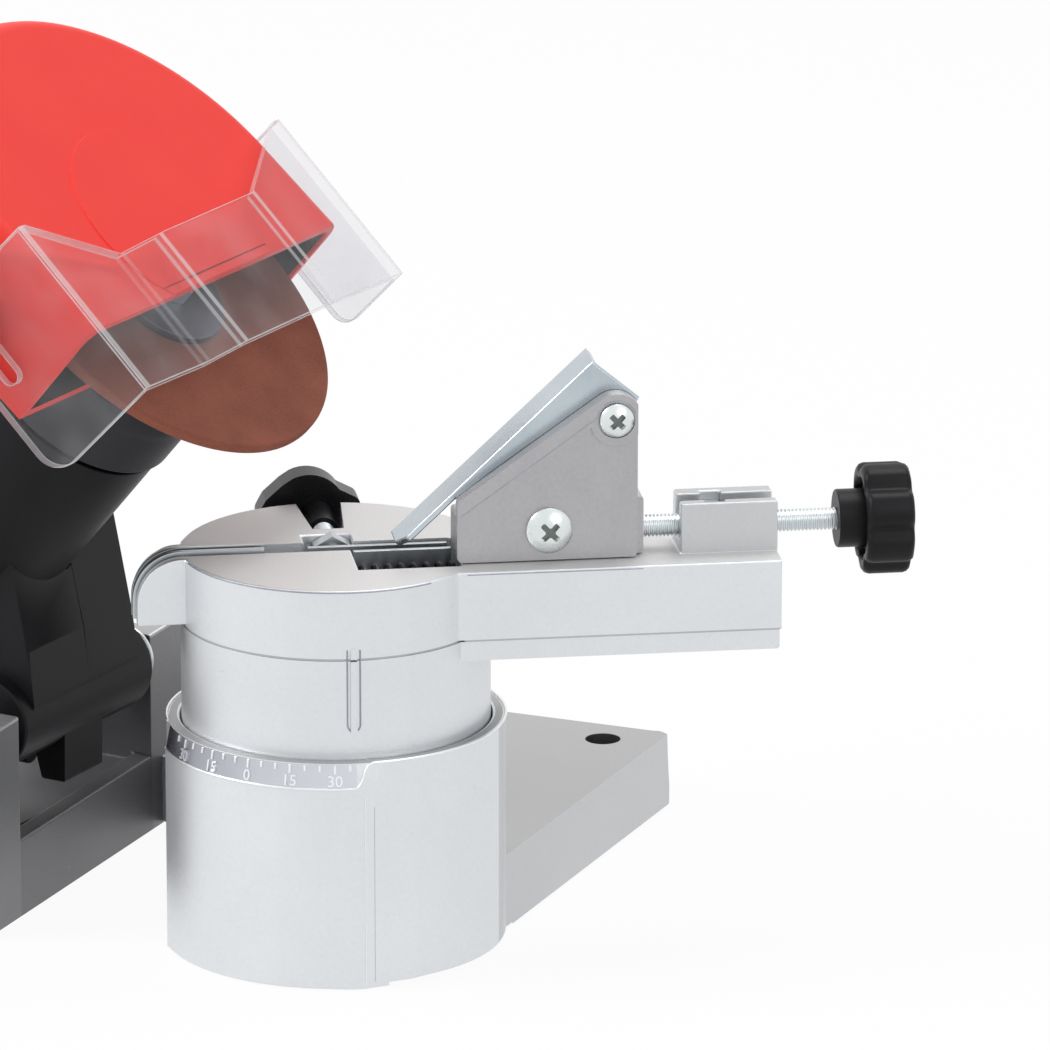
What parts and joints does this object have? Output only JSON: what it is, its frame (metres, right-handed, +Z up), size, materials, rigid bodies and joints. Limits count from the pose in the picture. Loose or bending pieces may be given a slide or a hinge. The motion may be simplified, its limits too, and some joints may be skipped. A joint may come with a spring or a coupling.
{
  "type": "saw chain sharpener",
  "caption": "Bench-top electric saw-chain sharpener: abrasive disc on a tilting motor head, turntable with angle scale, chain slot, clamp, pawl and fine adjusting screw.",
  "frame": {"origin": "on the resting plane, under the turntable axis", "axes": "+Z up; the zero of the angle scale faces -Y; the tilting head's yoke stands on the -X side and the bench plate reaches to +Y"},
  "size_m": [0.2968, 0.2903, 0.2429],
  "materials": {
    "cast_aluminium": "bead-blasted casting",
    "zinc_steel": "zinc plated",
    "black_plastic": "fine grained",
    "red_plastic": "satin",
    "abrasive": "bonded grit",
    "clear_plastic": "clear moulded sheet",
    "copper": "bare",
    "motor_iron": "varnished laminations"
  },
  "bodies": {
    "base": {"base_casting": "cast_aluminium", "hinge_pin": "zinc_steel", "pin_ring": "zinc_steel", "head_spring": "zinc_steel", "clamp_washer": "zinc_steel", "stop_locknut": "zinc_steel"},
    "stop_end": {"stop_tip": "black_plastic"},
    "stop_turn": {"stop_screw": "zinc_steel", "stop_knob": "black_plastic"},
    "table_lock": {"lock_knob": "black_plastic"},
    "turntable": {"turntable_casting": "cast_aluminium", "guide_plates": "zinc_steel", "front_jaw": "zinc_steel", "clamp_nut": "zinc_steel", "pivot_bolt": "zinc_steel", "carrier_spring": "zinc_steel", "block_nut": "zinc_steel"},
    "chain_jaw": {"clamp_jaw": "zinc_steel"},
    "jaw_screw": {"clamp_screw": "zinc_steel", "clamp_handle": "black_plastic"},
    "chain_stop": {"pawl_carrier": "cast_aluminium", "guide_foot": "zinc_steel", "carrier_screw": "zinc_steel", "pawl_screw": "zinc_steel"},
    "adjuster": {"adjusting_screw": "zinc_steel", "adjusting_knob": "black_plastic"},
    "pawl": {"pawl": "zinc_steel"},
    "head": {"arm_half_left": "black_plastic", "arm_half_right": "black_plastic", "arm_screw": "zinc_steel", "motor_flange": "black_plastic", "motor_housing": "black_plastic", "end_cap": "black_plastic", "stator": "motor_iron", "bearings": "zinc_steel", "brush_holders": "copper", "wheel_cover": "red_plastic", "handle_saddle": "black_plastic", "handle": "black_plastic", "switch_frame": "black_plastic", "cable_gland": "black_plastic", "guard_screw": "black_plastic"},
    "rocker": {"switch_rocker": "red_plastic"},
    "guard": {"guard": "clear_plastic"},
    "rotor": {"spindle": "zinc_steel", "armature": "motor_iron", "commutator": "copper", "fan": "black_plastic", "inner_flange": "zinc_steel", "grinding_disc": "abrasive", "outer_flange": "zinc_steel", "spindle_nut": "zinc_steel"}
  },
  "joints": [
    {"name": "head_tilt", "type": "hinge", "parent": "base", "child": "head", "pos_m": [-0.095, 0, 0.05], "axis": [0, 1, 0], "range_deg": [0, 12.5], "stiffness_Nm_per_rad": 0.6, "springref_deg": -74.48, "deforming": ["head_spring"]},
    {"name": "disc_spin", "type": "hinge", "parent": "head", "child": "rotor", "pos_m": [-0.0535, 0, 0.1705], "axis": [0.6494, 0, 0.7604], "continuous": true},
    {"name": "guard_slide", "type": "slide", "parent": "head", "child": "guard", "axis": [-0.7133, 0, 0.7009], "range_m": [0, 0.014]},
    {"name": "switch_rock", "type": "hinge", "parent": "head", "child": "rocker", "pos_m": [-0.11666, -0.012, 0.23759], "axis": [0.7604, 0, -0.6494], "range_deg": [0, 10]},
    {"name": "table_turn", "type": "hinge", "parent": "base", "child": "turntable", "pos_m": [0, 0, 0.03], "axis": [0, 0, 1], "range_deg": [-74, 0]},
    {"name": "lock_turn", "type": "hinge", "parent": "base", "child": "table_lock", "pos_m": [0, 0, 0.01], "axis": [0, 0, 1], "range_deg": [-180, 180]},
    {"name": "jaw_close", "type": "slide", "parent": "turntable", "child": "chain_jaw", "axis": [0.6018, -0.7986, 0], "range_m": [0, 0.001]},
    {"name": "jaw_screw_turn", "type": "hinge", "parent": "chain_jaw", "child": "jaw_screw", "pos_m": [0, 0, 0.103], "axis": [0.6018, -0.7986, 0], "range_deg": [0, 360]},
    {"name": "stop_carrier_slide", "type": "slide", "parent": "turntable", "child": "chain_stop", "axis": [-0.7986, -0.6018, 0], "range_m": [-0.007, 0.005], "deforming": ["carrier_spring"]},
    {"name": "adjuster_turn", "type": "hinge", "parent": "chain_stop", "child": "adjuster", "pos_m": [0.08739, 0.0502, 0.1138], "axis": [-0.7986, -0.6018, 0], "range_deg": [-2520, 1800]},
    {"name": "pawl_lift", "type": "hinge", "parent": "chain_stop", "child": "pawl", "pos_m": [0.06817, 0.02883, 0.1456], "axis": [-0.6018, 0.7986, 0], "range_deg": [0, 22]},
    {"name": "depth_slide", "type": "slide", "parent": "base", "child": "stop_end", "axis": [1, 0, 0], "range_m": [-0.003, 0.003]},
    {"name": "depth_screw_turn", "type": "hinge", "parent": "stop_end", "child": "stop_turn", "pos_m": [-0.11, 0.009, 0.033], "axis": [1, 0, 0], "range_deg": [-1080, 1080]}
  ],
  "couplings": [
    {"joint": "jaw_screw_turn", "follows": "jaw_close", "rad_per_m": 6283.2},
    {"joint": "adjuster_turn", "follows": "stop_carrier_slide", "rad_per_m": 6283.2},
    {"joint": "depth_screw_turn", "follows": "depth_slide", "rad_per_m": 6283.2}
  ]
}
